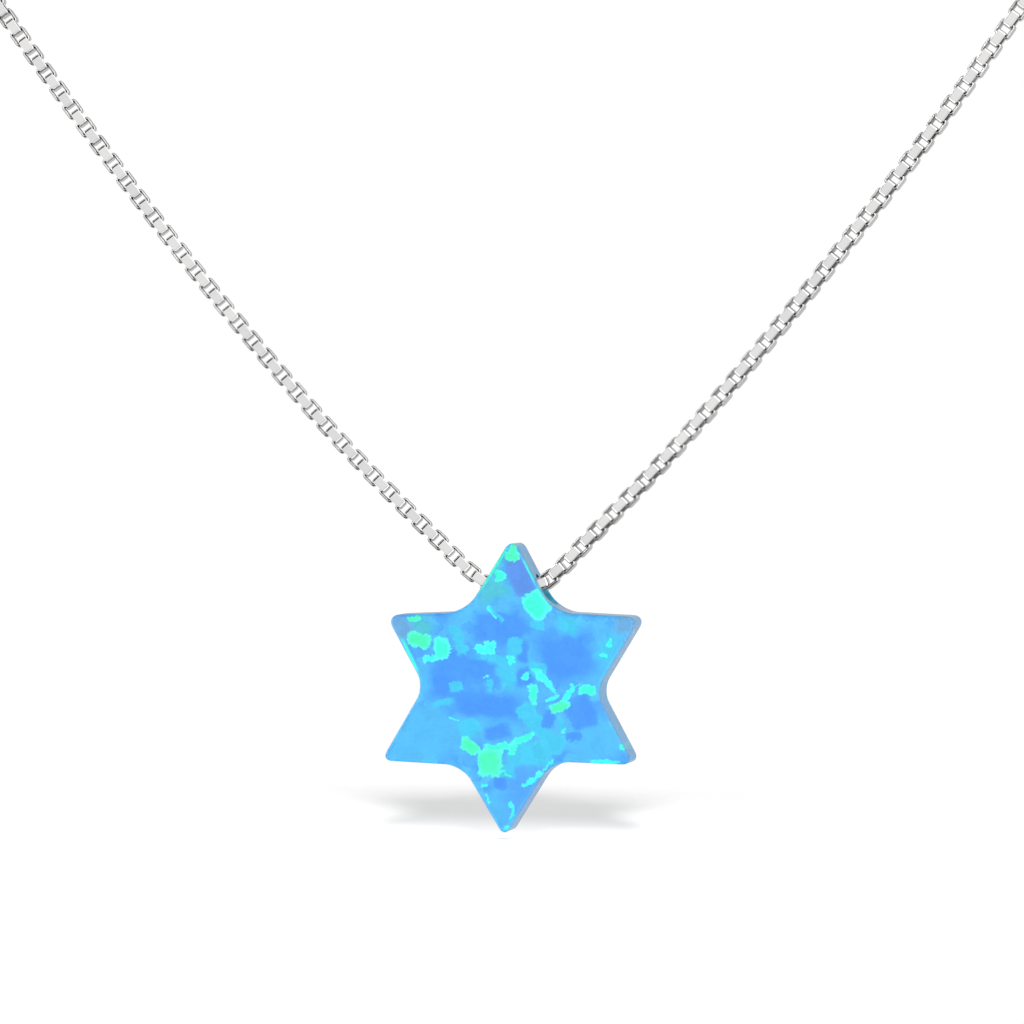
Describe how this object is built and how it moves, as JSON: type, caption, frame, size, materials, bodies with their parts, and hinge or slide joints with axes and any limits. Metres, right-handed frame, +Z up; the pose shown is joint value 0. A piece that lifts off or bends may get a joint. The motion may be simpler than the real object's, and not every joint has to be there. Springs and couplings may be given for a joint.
{
  "type": "star of david pendant on a box chain necklace",
  "caption": "Six-pointed opal star slab, drilled sideways through its upper point, hanging free on a closed loop of fine silver box chain with a ring clasp.",
  "frame": {"origin": "the middle of the clasp's hoop, where the chain rests on the nape", "axes": "+Z up, -Y to the front where the star hangs, X from side to side along the hole in the star"},
  "size_m": [0.1168, 0.1208, 0.1125],
  "materials": {
    "opal": "polished synthetic opal, blue with cyan and green flashes",
    "silver": "bright polished silver"
  },
  "bodies": {
    "necklace": {"chain": "silver", "clasp": "silver", "ring_left": "silver", "ring_right": "silver"},
    "star": {"star": "opal"}
  },
  "joints": [
    {"name": "star_swing", "type": "hinge", "parent": "necklace", "child": "star", "pos_m": [0, -0.118, -0.09815], "axis": [1, 0, 0], "range_deg": [-75, 75]}
  ]
}
